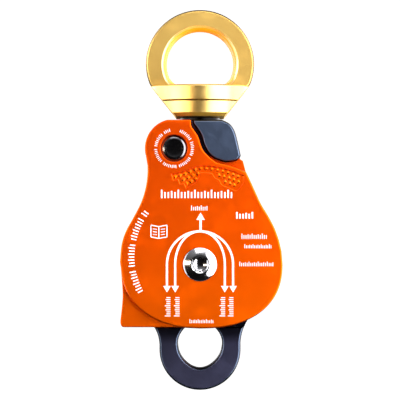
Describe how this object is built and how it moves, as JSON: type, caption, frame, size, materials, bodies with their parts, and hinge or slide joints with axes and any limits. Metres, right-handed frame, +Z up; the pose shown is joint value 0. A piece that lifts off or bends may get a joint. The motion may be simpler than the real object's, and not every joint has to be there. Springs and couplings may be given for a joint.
{
  "type": "rope pulley",
  "caption": "Swivel rope pulley with side-by-side sheaves, swinging side plates with push-button latches, and a becket below.",
  "frame": {"origin": "centre of the swivel eye's hole, on the centre plane", "axes": "+Z up through the swivel, +X to the right seen from the front, front faces -Y, sheave axle along Y"},
  "size_m": [0.0843, 0.0582, 0.2009],
  "materials": {
    "eye": "satin gold anodised",
    "plate": "satin orange anodised",
    "frame": "satin blue-grey anodised",
    "collar": "black, satin",
    "axle": "polished stainless steel",
    "button": "polished rim round a dark dished centre",
    "sheave": "turned, clear anodised",
    "bearing_steel": "ground",
    "spring_steel": "drawn wire and spring strip",
    "cage": "cast cage with steel balls",
    "shield": "black pressed shield",
    "bush": "sintered bronze",
    "seal": "black rubber"
  },
  "bodies": {
    "swivel": {"swivel_eye": "eye", "swivel_stud": "bearing_steel", "thrust_lower_race": "bearing_steel"},
    "frame": {"frame": "frame", "thrust_upper_race": "bearing_steel", "swivel_collar": "collar", "stud_seal": "seal", "axle_bolt": "axle", "axle_nut": "axle", "front_bearing_inner_race": "bearing_steel", "front_inner_spacer": "bearing_steel", "front_outer_spacer": "bearing_steel", "front_button_retainer": "bearing_steel", "front_button_spring": "spring_steel", "rear_bearing_inner_race": "bearing_steel", "rear_inner_spacer": "bearing_steel", "rear_outer_spacer": "bearing_steel", "rear_button_retainer": "bearing_steel", "rear_button_spring": "spring_steel"},
    "thrust_cage": {"thrust_ball_cage": "cage"},
    "front_plate": {"front_side_plate": "plate", "front_plate_bush": "bush"},
    "front_wheel": {"front_sheave": "sheave", "front_bearing_outer_race": "bearing_steel", "front_inner_shield": "shield", "front_outer_shield": "shield"},
    "front_ball_cage": {"front_bearing_ball_cage": "cage"},
    "front_latch": {"front_button": "button", "front_button_clip": "spring_steel"},
    "rear_plate": {"rear_side_plate": "plate", "rear_plate_bush": "bush"},
    "rear_wheel": {"rear_sheave": "sheave", "rear_bearing_outer_race": "bearing_steel", "rear_inner_shield": "shield", "rear_outer_shield": "shield"},
    "rear_ball_cage": {"rear_bearing_ball_cage": "cage"},
    "rear_latch": {"rear_button": "button", "rear_button_clip": "spring_steel"}
  },
  "joints": [
    {"name": "head_swivel", "type": "hinge", "parent": "swivel", "child": "frame", "pos_m": [0, 0, -0.0415], "axis": [0, 0, 1], "continuous": true},
    {"name": "thrust_cage_turn", "type": "hinge", "parent": "swivel", "child": "thrust_cage", "pos_m": [0, 0, -0.0415], "axis": [0, 0, 1], "continuous": true},
    {"name": "front_plate_swing", "type": "hinge", "parent": "frame", "child": "front_plate", "pos_m": [0, -0.024, -0.105], "axis": [0, -1, 0], "range_deg": [0, 120]},
    {"name": "front_sheave_spin", "type": "hinge", "parent": "frame", "child": "front_wheel", "pos_m": [0, -0.0121, -0.105], "axis": [0, 1, 0], "continuous": true},
    {"name": "front_cage_turn", "type": "hinge", "parent": "frame", "child": "front_ball_cage", "pos_m": [0, -0.0121, -0.105], "axis": [0, 1, 0], "continuous": true},
    {"name": "front_button_press", "type": "slide", "parent": "frame", "child": "front_latch", "axis": [0, 1, 0], "range_m": [0, 0.005], "stiffness_N_per_m": 500, "springref_m": -0.004, "deforming": ["front_button_spring"]},
    {"name": "rear_plate_swing", "type": "hinge", "parent": "frame", "child": "rear_plate", "pos_m": [0, 0.024, -0.105], "axis": [0, -1, 0], "range_deg": [0, 120]},
    {"name": "rear_sheave_spin", "type": "hinge", "parent": "frame", "child": "rear_wheel", "pos_m": [0, 0.0121, -0.105], "axis": [0, 1, 0], "continuous": true},
    {"name": "rear_cage_turn", "type": "hinge", "parent": "frame", "child": "rear_ball_cage", "pos_m": [0, 0.0121, -0.105], "axis": [0, 1, 0], "continuous": true},
    {"name": "rear_button_press", "type": "slide", "parent": "frame", "child": "rear_latch", "axis": [0, -1, 0], "range_m": [0, 0.005], "stiffness_N_per_m": 500, "springref_m": -0.004, "deforming": ["rear_button_spring"]}
  ],
  "couplings": [
    {"joint": "thrust_cage_turn", "follows": "head_swivel", "ratio": 0.5},
    {"joint": "front_cage_turn", "follows": "front_sheave_spin", "ratio": 0.5887},
    {"joint": "rear_cage_turn", "follows": "rear_sheave_spin", "ratio": 0.5887}
  ]
}
